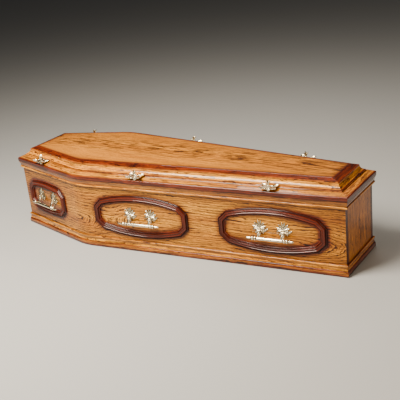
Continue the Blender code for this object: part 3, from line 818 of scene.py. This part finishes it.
def mitred_moulding(node, name, section, tone, grain_at):
    """Four lengths of one moulding round the plan. section holds (outset, height), and tone goes by height."""
    paths = [side_path(outset) for outset, _ in section]
    rows = [
        [at_height(path[i], z) for (path, _), (_, z) in zip(paths, section)]
        for i in range(len(paths[0][0]))
    ]
    along_at, up_at = grain_at
    in_wood = [(z - section[0][1] + up_at, outset) for outset, z in section]

    def grain(row, column, cell):
        return (paths[column][1][row] + along_at, *in_wood[column])

    def darkness(row, column, cell):
        return MITRE_TONER if cell is None else tone(section[column][1])

    for side, sign in SIDES:
        mesh = loft_mesh(name + side, rows, grain, darkness, sign=sign)
        piece(f"{name}_{side}", mesh, MOULDING_OAK, f"{node}_{side}")
    for end, corner in (("head", rows[0]), ("foot", rows[-1])):
        near = [Vector((p.x, p.y + MITRE_GAP, p.z)) for p in corner]
        far = [Vector((p.x, -p.y, p.z)) for p in near]

        def end_grain(row, column, cell):
            return ((near, far)[row][column].y + ACROSS_GRAIN_AT, *in_wood[column])

        def end_darkness(row, column, cell):
            return darkness(row, column, cell) + ACROSS_TONER

        mesh = loft_mesh(name + end, [near, far], end_grain, end_darkness)
        piece(f"{name}_{end}", mesh, MOULDING_OAK, f"{node}_{end}")


def planted(section, arrises, projection, bottom, height):
    """Section points of a moulding planted on the box, from its back at the bottom to its back at the top."""
    front = [(GAP + projection * out, bottom + height * up) for out, up in fine(section, arrises)]
    return [(GAP, bottom), *front, (GAP, bottom + height)]


def build_mouldings():
    """The plinth and the moulding under the lid, with painted shade in their quirks and under the lid's
    overhang, and toner low on the plinth, lightened on its torus by a painted highlight.
    """

    def plinth_tone(z):
        share = z / PLINTH_HEIGHT
        # Dark toner on the torus, lightened on its upper flank as a painted highlight; above it painted shade
        # in the quirk and along the plinth's top where it meets the board
        if share < 0.5:
            return 1.05 - 0.4 * bell(share - 0.3, 0.1)
        return 0.1 + 0.7 * (bell(share - 0.8, 0.03) + bell(share - 1.0, 0.03))

    def top_tone(z):
        share = (z - TOP_MOULDING_BOTTOM) / TOP_MOULDING_HEIGHT
        # Painted shade in the quirk at 0.36 and along the bottom edge, and darker above the quirk as painted
        # shade under the lid's overhang
        quirk_shade = bell(share - 0.36, 0.05) + bell(share, 0.06)
        return min(1, (0.15 if share < 0.32 else 0.35 + 0.5 * share ** 3) + 0.7 * quirk_shade)

    plinth = planted(PLINTH_SECTION, PLINTH_ARRISES, PLINTH_PROJECTION, 0, PLINTH_HEIGHT)
    top = planted(TOP_SECTION, TOP_ARRISES, TOP_MOULDING_PROJECTION, TOP_MOULDING_BOTTOM, TOP_MOULDING_HEIGHT)
    mitred_moulding("plinth_moulding", "plinth", plinth, plinth_tone, (1.3, 0.02))
    mitred_moulding("top_moulding", "upper_moulding", top, top_tone, (5.1, 0.03))


# Lid

def build_lid_board():
    """The lid board: its rounded edge is dark, and the grain of its ledge follows each side to the mitres."""
    edge = [(LID_OVERHANG * min(out, 1), LID_BOTTOM + LID_EDGE * up) for out, up in fine(LID_EDGE_SECTION)]
    width = LEDGE_EDGE + STEP_INSET
    ledge = [(LEDGE_EDGE - width * t, LEDGE_FOOT + LEDGE_RISE * t) for t in (0.08, 0.25, 0.6, 1.0)]
    section = [(-LID_RIM, LID_BOTTOM + LID_RECESS), (-LID_RIM, LID_BOTTOM), *edge, *ledge]
    paths = [side_path(outset) for outset, _ in section]
    count = len(paths[0][0])
    rows = [
        [at_height(p, z) for p in path] + [at_height(p, z, -1) for p in reversed(path)]
        for (path, _), (_, z) in zip(paths, section)
    ]

    def grain(row, column, cell):
        stretch = cell[1] if cell else 0
        end = {count - 1: "foot", 2 * count - 1: "head"}.get(stretch)
        if end:
            return (rows[row][column].y + LEDGE_GRAIN_AT[end], *section[row])
        run = paths[row][1][column if column < count else 2 * count - 1 - column]
        return (run if stretch < count else run + LEDGE_GRAIN_AT["left"], *section[row])

    def darkness(row, column, cell):
        outset, z = section[row]
        if z > LEDGE_FOOT:
            return 0.3 + 0.7 * bell(LEDGE_EDGE - outset, 0.005)
        return 1.0 + 0.45 * min(1, (LEDGE_FOOT - z) / (0.5 * LID_EDGE))

    mesh = loft_mesh("lid_board", rows, grain, darkness)
    piece("lid_ledge", mesh, MOULDING_OAK, "lid_board")


def build_lid_moulding():
    """The mitred moulding that carries the raised top on its shelf."""
    front = [
        (-STEP_INSET - RAISED_WIDTH * inward, RAISED_FOOT + RAISE * up)
        for inward, up in fine(RAISED_SECTION, RAISED_ARRISES)
    ]
    inner = -TOP_PANEL_INSET - RAISED_SHELF
    back = [(-TOP_PANEL_INSET, SHELF), (inner, SHELF), (inner, RAISED_FOOT)]

    def tone(z):
        share = (z - RAISED_FOOT) / RAISE
        rise = min(max((share - 0.6) / 0.26, 0), 1)
        # Toner on the nosing from 0.6 up; painted shade in the groove at the foot and in the quirk at 0.175
        return 1.2 * rise + 1.3 * bell(share, 0.04) + 1.1 * bell(share - 0.175, 0.03)

    mitred_moulding("lid_moulding", "raised_moulding", [*front, *back], tone, (2.2, 0.03))


def build_flat_top():
    """The flat raised top, with its edges chamfered and toner sprayed inward from them."""
    path, _ = side_path(-TOP_PANEL_INSET - GAP, None, 30, 110)
    shares = [sin(pi / 2 * share) for share in both_ways(TOP_CELLS)]
    chamfer = {1: TOP_PANEL_CHAMFER, len(path): -TOP_PANEL_CHAMFER}
    edge_z = RAISED_TOP - TOP_PANEL_CHAMFER
    rows = []
    for i, p in enumerate([path[0], *path, path[-1]]):
        x = p.x + chamfer.get(i, 0)
        z = edge_z if i in (0, len(path) + 1) else RAISED_TOP
        half = -p.y - TOP_PANEL_CHAMFER
        flat = [Vector((x, half * share, z)) for share in shares]
        rim = [Vector((x, y, z)) for y, z in ((-p.y, edge_z), (-p.y, SHELF + GAP), (p.y, SHELF + GAP))]
        rows.append([Vector((x, p.y, edge_z)), *flat, *rim])
    loop = path + [Vector((p.x, -p.y)) for p in reversed(path)]
    away = distance_to_loop(np.array([(p.x, p.y) for row in rows for p in row]), loop).reshape(len(rows), -1)
    tone = 1.1 * bell(away, 0.012) + 0.32 * bell(away, 0.045)

    def grain(row, column, cell):
        p = rows[row][column]
        return (p.x + TOP_GRAIN_AT[0], p.y + TOP_GRAIN_AT[1], p.z - RAISED_TOP)

    mesh = loft_mesh("flat_top", rows, grain, lambda row, column, cell: tone[row, column])
    piece("flat_top", mesh, LID_OAK, "lid_top_panel")


# Panel frames

def frame_mesh(name, length):
    """A dark frame of one moulding: a raised middle between two beads, mitred at the corners."""
    half = fine(FRAME_HALF_SECTION, (), 4)
    front = half + [(1 - inset, out) for inset, out in reversed(half[:-1])]
    section = [(FRAME_MOULDING * inset, GAP + FRAME_THICKNESS * out) for inset, out in front]
    section = [(0, GAP), *section, (FRAME_MOULDING, GAP)]
    loops = [frame_outline(length / 2, inset) for inset, _ in section]
    rows = [[(p.x, -out, p.y) for p in loop] for loop, (_, out) in zip(loops, section)]
    runs = runs_along([*loops[0], loops[0][0]])

    def grain(row, column, cell):
        last = cell[1] == len(runs) - 2 and column == 0
        return (runs[-1] if last else runs[column], *section[row])

    def darkness(row, column, cell):
        share = section[row][0] / FRAME_MOULDING
        from_middle = abs(share - 0.5)
        # Painted shade in the quirks beside the middle and in its hollow, and a darker outer rim that is
        # partly painted shade, standing for the dark reflection along the frame's outside
        return bell(from_middle - 0.31, 0.05) + 0.9 * bell(share, 0.2) + 0.35 * bell(from_middle, 0.06)

    return loft_mesh(name, rows, grain, darkness, ring=True)


def build_frames():
    """The dark frames on both long sides."""
    short, long = frame_mesh("frame_head", SHORT_FRAME), frame_mesh("frame_middle", LONG_FRAME)
    for side, sign in SIDES:
        for name, middle, along, length in panels():
            mesh = short if name == "head" else long
            piece(
                f"frame_{side}_{name}", mesh, MAHOGANY, f"panel_frame_{side}_{name}",
                at_height(middle, FRAME_MIDDLE, sign), facing(along, sign),
            )


# Cast fittings

def join(name, parts):
    """One mesh of several, each given with the matrix that places it."""
    shape = bmesh.new()
    for mesh, matrix in parts:
        mesh.transform(matrix)
        shape.from_mesh(mesh)
        bpy.data.meshes.remove(mesh)
    whole = bpy.data.meshes.new(name)
    shape.to_mesh(whole)
    shape.free()
    shade(whole)
    return whole


def blade(length, width, base, ridge, tip_lift=0.0, root=0.45, veins=3):
    """A cast leaf along +X in the XY plane, with its ridge along the middle and veins beside it.

    base and ridge are the heights of its edge and of its middle. root is the width at its foot as a share.
    """
    rows, hollows = [], []
    for i in range(LEAF_CELLS + 1):
        t = i / LEAF_CELLS
        swell = root + (1 - root) * sin(pi * min(t / LEAF_WIDEST, 1) / 2)
        wide = width / 2 * swell * max(1 - t ** 3.2, 0.02) ** 0.75
        lift = tip_lift * t ** 2
        high = (ridge - base) * (1 - LEAF_FALL * t ** 2.4)
        groove = 0.5 + 0.5 * cos(2 * pi * veins * t)
        row, low = [], []
        for a in LEAF_COLUMNS:
            vein = VEIN_DEPTH * groove * sin(pi * min(abs(a) * 1.1, 1))
            row.append((length * t, wide * a, lift + base + high * (1 - abs(a) ** 1.25 - vein)))
            low.append(max(abs(a) ** 2.5, 0.5 * groove * sin(pi * abs(a))))
        rows.append(row + [(length * t, wide * side, lift + base * 0.25) for side in (1, -1)])
        hollows.append(low + [0.9, 0.9])
    return loft_mesh("blade", rows, tone=lambda row, column, cell: hollows[row][column])


def lathe(profile, steps, axis="Z", tone=even(0.0), lobes=0, depth=0.0):
    """A turned solid from (radius, height) points. Lobes flute it by the given share of its radius."""
    rows = []
    for radius, height in profile:
        row = [round_z(a, radius * (1 - depth * (0.5 - 0.5 * cos(lobes * a))), height) for a in circle(steps)]
        rows.append(row if axis == "Z" else [(z, x, y) for x, y, z in row])
    return loft_mesh("turned", rows, tone=tone)


def ear_mesh(side):
    """One of the two ears that hold the pin, at the eye's right or left."""
    rows = []
    for shift, size in EAR_SECTION:
        x = side * EAR_X + shift * EAR_THICKNESS
        radius = size * EAR_RADIUS
        foot = [(x, -PLATE_EDGE / 2, -PIVOT_BELOW_PLATE + radius * EAR_FOOT * end) for end in (-1, 1)]
        nose = [
            (x, -PIVOT_STAND_OFF - radius * cos(a), -PIVOT_BELOW_PLATE + radius * sin(a))
            for a in (pi / 2 * share for share in both_ways(EAR_STEPS))
        ]
        rows.append([foot[0], *nose, foot[1]])
    return loft_mesh("ear", rows, tone=even(0.25))


def plate_mesh():
    """The cast plate: leaves and petals round a boss, a spray below, and the handle's ears and pin."""
    back = Matrix.Translation((0, -GAP, 0)) @ turned(90, "X")
    parts = [(lathe(PLATE_DISC, 40, tone=even(1.0)), back)]
    for angle, reach, width in PLATE_LEAVES:
        leaf = blade(reach - PLATE_LEAF_START, width, base=0.001, ridge=0.0058, tip_lift=0.0008)
        parts.append((leaf, back @ turned(angle) @ Matrix.Translation((PLATE_LEAF_START, 0, 0))))
    start = Matrix.Translation((PLATE_PETAL_START, 0, PLATE_PETAL_BASE))
    reach = PLATE_PETAL_REACH - PLATE_PETAL_START
    for i in range(PLATE_PETALS):
        petal = blade(reach, PLATE_PETAL_WIDTH, base=0.0012, ridge=0.0042, veins=1)
        parts.append((petal, back @ turned(90 + 360 * i / PLATE_PETALS) @ start))
    spray = blade(0.045, 0.014, base=0.0012, ridge=0.0064, tip_lift=0.001, root=0.25, veins=4)
    parts.append((spray, back @ Matrix.Translation(PLATE_SPRAY_AT) @ turned(PLATE_SPRAY_ANGLE)))
    boss = [(PLATE_BOSS * share, z) for share, z, _ in PLATE_BOSS_SECTION]
    flower = lathe(boss, 48, tone=by_row(PLATE_BOSS_SECTION), lobes=8, depth=0.1)
    parts.append((flower, back @ Matrix.Translation((0, 0.0012, 0))))
    parts += [(ear_mesh(side), Matrix()) for side in (-1, 1)]
    pin_half = EAR_X + EAR_THICKNESS * 0.62
    pin = [(0.0002, -pin_half), (0.6 * PIN_RADIUS, -pin_half), (PIN_RADIUS, -pin_half + 0.0005)]
    pin += [(r, -x) for r, x in reversed(pin)]
    parts.append((lathe(pin, 20, "X"), Matrix.Translation((0, -PIVOT_STAND_OFF, -PIVOT_BELOW_PLATE))))
    return join("handle_plate", parts)


def eye_mesh(x):
    """The eye of an arm, round the pin."""
    bore = PIN_RADIUS + EYE_BORE_CLEARANCE
    section = [(bore, -0.5), (bore, 0.5), *((EYE_RADIUS * share, across) for share, across in EYE_SECTION)]
    rows = [[(x + across * EYE_WIDTH, r * cos(a), r * sin(a)) for r, across in section] for a in circle(28)]
    return loft_mesh("eye", rows, tone=even(0.1), ring=True)


def squared(share):
    """A share of a circle's radius, moved a little towards a square's."""
    return copysign(abs(share) ** (2 / 2.2), share)


def arm_mesh(x):
    """A leaf-shaped arm from its eye to the bar, with a rib down its front and grooves across it."""
    down = TO_BAR.normalized()
    thick = Vector((0, down.z, -down.y))
    first = EYE_RADIUS * 0.8
    rows, hollows = [], []
    for i in range(ARM_CELLS + 1):
        t = i / ARM_CELLS
        reach = first + (TO_BAR.length - first) * t
        at = reach / TO_BAR.length
        if at < ARM_LEAF_AT:
            s = ease(at / ARM_LEAF_AT)
            wide = ARM_NECK_WIDTH + (ARM_LEAF_WIDTH - ARM_NECK_WIDTH) * s
            deep = ARM_NECK_DEPTH + (ARM_DEPTH - ARM_NECK_DEPTH) * s
        else:
            s = ease((at - ARM_LEAF_AT) / (1 - ARM_LEAF_AT))
            wide, deep = ARM_LEAF_WIDTH + (ARM_FOOT_WIDTH - ARM_LEAF_WIDTH) * s, ARM_DEPTH
        centre = Vector((x, 0, 0)) + down * reach
        groove = 0.5 - 0.5 * cos(2 * pi * 5 * t)
        row = []
        for angle in circle(24):
            a, b = wide / 2 * squared(cos(angle)), deep / 2 * squared(sin(angle))
            front = max(-b / (deep / 2), 0)
            b += front * (0.0006 * groove * abs(a) / (wide / 2) - 0.0008 * bell(a, 0.0016))
            row.append(centre + Vector((a, 0, 0)) + thick * b)
        rows.append(row)
        hollows.append(0.55 * groove)

    def darkness(row, column, cell):
        return 0 if column % 12 in (5, 6, 7) else hollows[row]

    return loft_mesh("arm", rows, tone=darkness)


def bar_mesh():
    """The bar with its turned rings and pointed ends, and the two leaf-shaped arms with their eyes."""
    half = fine(BAR_SECTION, BAR_ARRISES, 3)
    half = [(r, x, next((tone for low, high, tone in BAR_DARK if low < x < high), 0.0)) for r, x in half]
    whole = half + [(r, -x, tone) for r, x, tone in reversed(half[:-1])]
    profile = [(BAR_RADIUS * r, BAR_LENGTH / 2 * x) for r, x, _ in whole]
    parts = [(lathe(profile, 36, "X", by_row(whole)), Matrix.Translation(TO_BAR))]
    for x in (-PLATE_SPACING / 2, PLATE_SPACING / 2):
        parts += [(eye_mesh(x), Matrix()), (arm_mesh(x), Matrix())]
    return join("handle_bar", parts)


def dish_lobe(angle):
    """1 at the four tips of a holder's dish, 0 between them."""
    tip = atan2(1, HOLDER_SPREAD)
    across = abs(asin(sin(angle)))
    return bell(across - tip, 0.42 if across < tip else 0.5)


def dish_reach(angle):
    """How far a holder's dish reaches: an oval with a petal at each of the four tips."""
    short = HOLDER_RADIUS * HOLDER_WAIST
    oval = 1 / hypot(cos(angle) / (short * HOLDER_SPREAD), sin(angle) / short)
    tip = HOLDER_RADIUS * hypot(1, HOLDER_SPREAD) * sqrt(0.5)
    return oval + (tip - 1.2 * short) * dish_lobe(angle) ** 3 + 0.001 * cos(16 * angle)


def dish_point(angle, share, high):
    """A point of a holder's dish, whose rim curls up at its four tips."""
    curl = HOLDER_CURL * dish_lobe(angle) * min(share, 1) ** 3
    return round_z(angle, share * dish_reach(angle), HOLDER_DISH + curl + HOLDER_LEAF * high)


def crown_point(angle, share, high):
    """A point of a holder's crown, which has four flared lobes."""
    lobe = 0.5 + 0.5 * cos(4 * (angle - pi / 4))
    radius = HOLDER_CROWN_RADIUS * share * (1 - 0.42 * (1 - lobe) * share)
    rise = high * (0.62 + 0.38 * lobe) + 0.14 * lobe * share ** 4
    return round_z(angle, radius, HOLDER_HEIGHT - HOLDER_CROWN + HOLDER_CROWN * rise)


def holder_mesh():
    """A wreath holder: a boss on the ledge, a dish of upturned petals, a post and a flared crown."""
    boss = ((HOLDER_BOSS, 0.0), (HOLDER_BOSS, HOLDER_DISH * 0.5), (HOLDER_BOSS * 0.85, HOLDER_DISH))
    bottom = lathe(boss, 28)
    for vertex in bottom.vertices:
        if vertex.co.z < 0.0001:
            vertex.co.z = GAP + LEDGE_SLOPE * vertex.co.y
    rows = [[dish_point(a, share, high) for a in circle(120)] for share, high, _ in DISH_SECTION]
    dish = loft_mesh("dish", rows, tone=by_row(DISH_SECTION))
    levels = ((HOLDER_DISH + HOLDER_LEAF, POST_FOOT), (HOLDER_HEIGHT - HOLDER_CROWN, POST_HEAD))
    post = [(HOLDER_POST * share, level + z) for level, points in levels for share, z in points]
    dark = range(6, 13)
    post = lathe(fine(post, (1, 7), 3), 32, tone=lambda row, column, cell: 0.5 if row in dark else 0.05)
    rows = [[crown_point(a, share, high) for a in circle(48)] for share, high, _ in CROWN_SECTION]
    crown = loft_mesh("crown", rows, tone=by_row(CROWN_SECTION))
    return join("wreath_holder", [(mesh, Matrix()) for mesh in (bottom, dish, post, crown)])


def build_fittings():
    """Handle plates, bars and wreath holders of both long sides."""
    plate, bar, holder = plate_mesh(), bar_mesh(), holder_mesh()
    plate_z = FRAME_MIDDLE + PLATE_ABOVE_MIDDLE
    on_ledge = LEDGE_EDGE - HOLDER_FROM_EDGE
    ledge_z = LEDGE_FOOT + LEDGE_SLOPE * HOLDER_FROM_EDGE
    # Each fitting's mesh, names, place along and out from the middle of its panel, and height
    fittings = (
        (plate, "plate_{}_1", "handle_plate_{}_1", -PLATE_SPACING / 2, 0, plate_z),
        (plate, "plate_{}_2", "handle_plate_{}_2", PLATE_SPACING / 2, 0, plate_z),
        (bar, "bar_{}", "handle_bar_{}", 0, PIVOT_STAND_OFF, plate_z - PIVOT_BELOW_PLATE),
        (holder, "holder_{}", "wreath_holder_{}", 0, on_ledge, ledge_z),
    )
    for side, sign in SIDES:
        for name, middle, along, _ in panels():
            for mesh, label, node, shift, out, z in fittings:
                place = at_height(middle + along * shift + outward(along) * out, z, sign)
                own = mesh.copy()
                own.transform(Matrix.Translation(place) @ Matrix.Rotation(facing(along, sign), 4, "Z"))
                at = f"{side}_{name}"
                piece(label.format(at), own, BRASS, node.format(at))


build_sides()
build_ends()
build_mouldings()
build_lid_board()
build_lid_moulding()
build_flat_top()
build_frames()
build_fittings()

# The base board keeps its own solid, which is seen from below only
base = frame["nodes"]["base_board"].data
base.materials.clear()
base.materials.append(UNDER_OAK)


# Stage, lights and camera

FLOOR_REACH = 15.0
FLOOR_DROP = 0.0005
floor_mesh = bpy.data.meshes.new("floor")
corners = [(x * FLOOR_REACH, y * FLOOR_REACH, 0) for x, y in ((-1, -1), (1, -1), (1, 1), (-1, 1))]
floor_mesh.from_pydata(corners, [], [(0, 1, 2, 3)])
floor = added("floor", floor_mesh)
floor.location.z = -FLOOR_DROP
floor_look = Material("pale_floor")
floor_look.set(Base_Color=(0.36, 0.36, 0.355, 1), Roughness=0.8, Specular_IOR_Level=0.1)
floor_mesh.materials.append(floor_look.made)


def softbox(name, place, target, size, power, colour):
    """A rectangular soft light that faces a point."""
    data = bpy.data.lights.new(name, "AREA")
    data.shape = "RECTANGLE"
    data.size, data.size_y = size
    data.energy = power
    data.color = colour
    obj = added(name, data)
    obj.location = place
    obj.rotation_mode = "QUATERNION"
    obj.rotation_quaternion = (Vector(target) - Vector(place)).to_track_quat("-Z", "Y")


softbox("key", (-0.6, -1.65, 2.7), (0.05, -0.2, 0.2), (1.5, 1.7), 350, (1.0, 0.9, 0.75))
softbox("overhead", (0.5, -0.3, 2.6), (0.3, 0, 0.3), (2.2, 0.5), 14, (1.0, 0.92, 0.8))
softbox("fill", (3.2, -1.7, 1.3), (0.5, 0, 0.2), (1.2, 1.2), 42, (1.0, 0.76, 0.5))
softbox("back", (-0.2, 2.1, 3.3), (0, 0, 0.2), (1.6, 0.9), 34, (1.0, 0.92, 0.82))

world = bpy.data.worlds.new("studio")
world.use_nodes = True
background = world.node_tree.nodes["Background"]
background.inputs["Color"].default_value = (0.88, 0.86, 0.84, 1)
background.inputs["Strength"].default_value = 0.06
bpy.context.scene.world = world

CAMERA_PLACE = Vector((2.1767, -3.14032, 1.6995))
CAMERA_AZIMUTH = 33.597
CAMERA_ELEVATION = 21.705
CAMERA_ROLL = -5.73
CAMERA_LENS = 70.416
SENSOR_WIDTH = 36
camera_data = bpy.data.cameras.new("camera")
camera_data.sensor_width = SENSOR_WIDTH
camera_data.lens = CAMERA_LENS
camera = added("camera", camera_data)
camera.matrix_world = (
    Matrix.Translation(CAMERA_PLACE) @ turned(CAMERA_AZIMUTH) @ turned(90 - CAMERA_ELEVATION, "X")
    @ turned(CAMERA_ROLL)
)
bpy.context.scene.camera = camera
